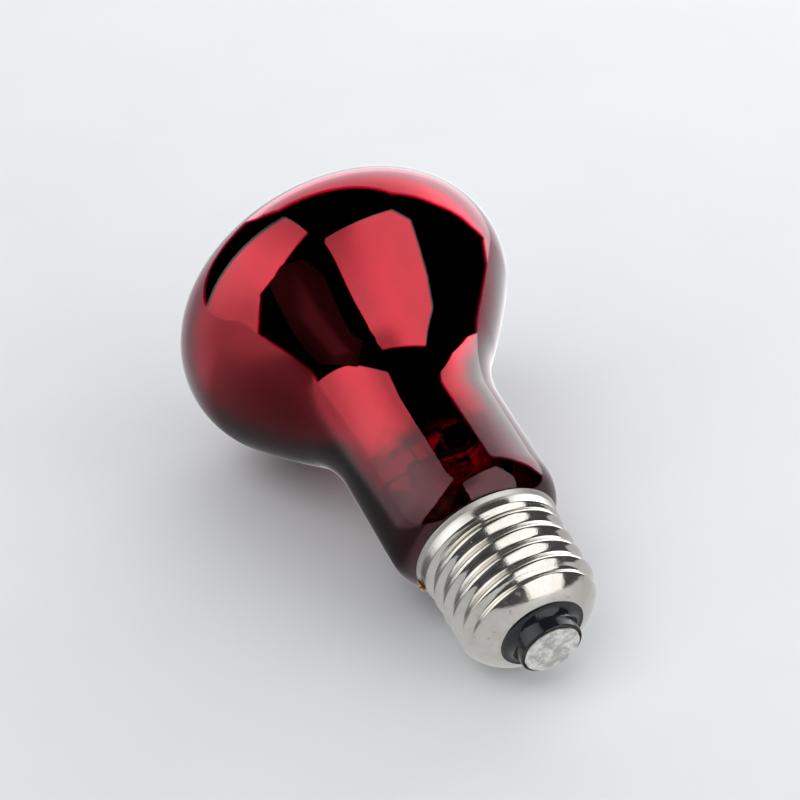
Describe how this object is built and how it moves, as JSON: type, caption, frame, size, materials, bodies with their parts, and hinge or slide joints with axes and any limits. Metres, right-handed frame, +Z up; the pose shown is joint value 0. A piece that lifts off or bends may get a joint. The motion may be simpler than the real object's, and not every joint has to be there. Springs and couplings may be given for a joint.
{
  "type": "infrared reflector heat lamp",
  "caption": "Red infrared reflector heat lamp with an Edison screw cap, lying on its side as it rests on a flat surface.",
  "frame": {"origin": "centre of the lamp's footprint, on the surface that it lies on", "axes": "+X from the cap's contact towards the lens along the ground, +Z up; the lamp's own axis rises 14.5 degrees from +X"},
  "size_m": [0.1026, 0.0642, 0.063],
  "materials": {
    "ruby_glass": "clear ruby red, polished",
    "aluminium_film": "evaporated mirror film",
    "nickel_plate": "bright nickel plate on brass, lightly stained",
    "black_glass": "glossy black insulating glass",
    "brass": "stamped",
    "solder": "mottled grey solder",
    "burnt_solder": "brown with burnt flux",
    "cement": "baked resin cement, matte",
    "stem_glass": "clear",
    "copper": "bare copper wire",
    "nickel_wire": "nickel-plated wire",
    "molybdenum": "drawn wire",
    "tungsten": "coiled wire"
  },
  "bodies": {
    "root": {"glass_envelope": "ruby_glass", "mirror_coating": "aluminium_film", "cap_shell": "nickel_plate", "cap_insulator": "black_glass", "contact_plate": "brass", "centre_solder": "solder", "side_solder": "burnt_solder", "basing_cement": "cement", "flare_tube": "stem_glass", "stem_press": "stem_glass", "exhaust_tube": "stem_glass", "arbor_rod": "stem_glass", "seal_wire_centre": "copper", "seal_wire_side": "copper", "outer_lead_centre": "copper", "outer_lead_side": "copper", "inner_lead_centre": "nickel_wire", "inner_lead_side": "nickel_wire", "support_wire_1": "molybdenum", "support_wire_2": "molybdenum", "support_wire_3": "molybdenum", "support_wire_4": "molybdenum", "filament": "tungsten"}
  },
  "joints": []
}
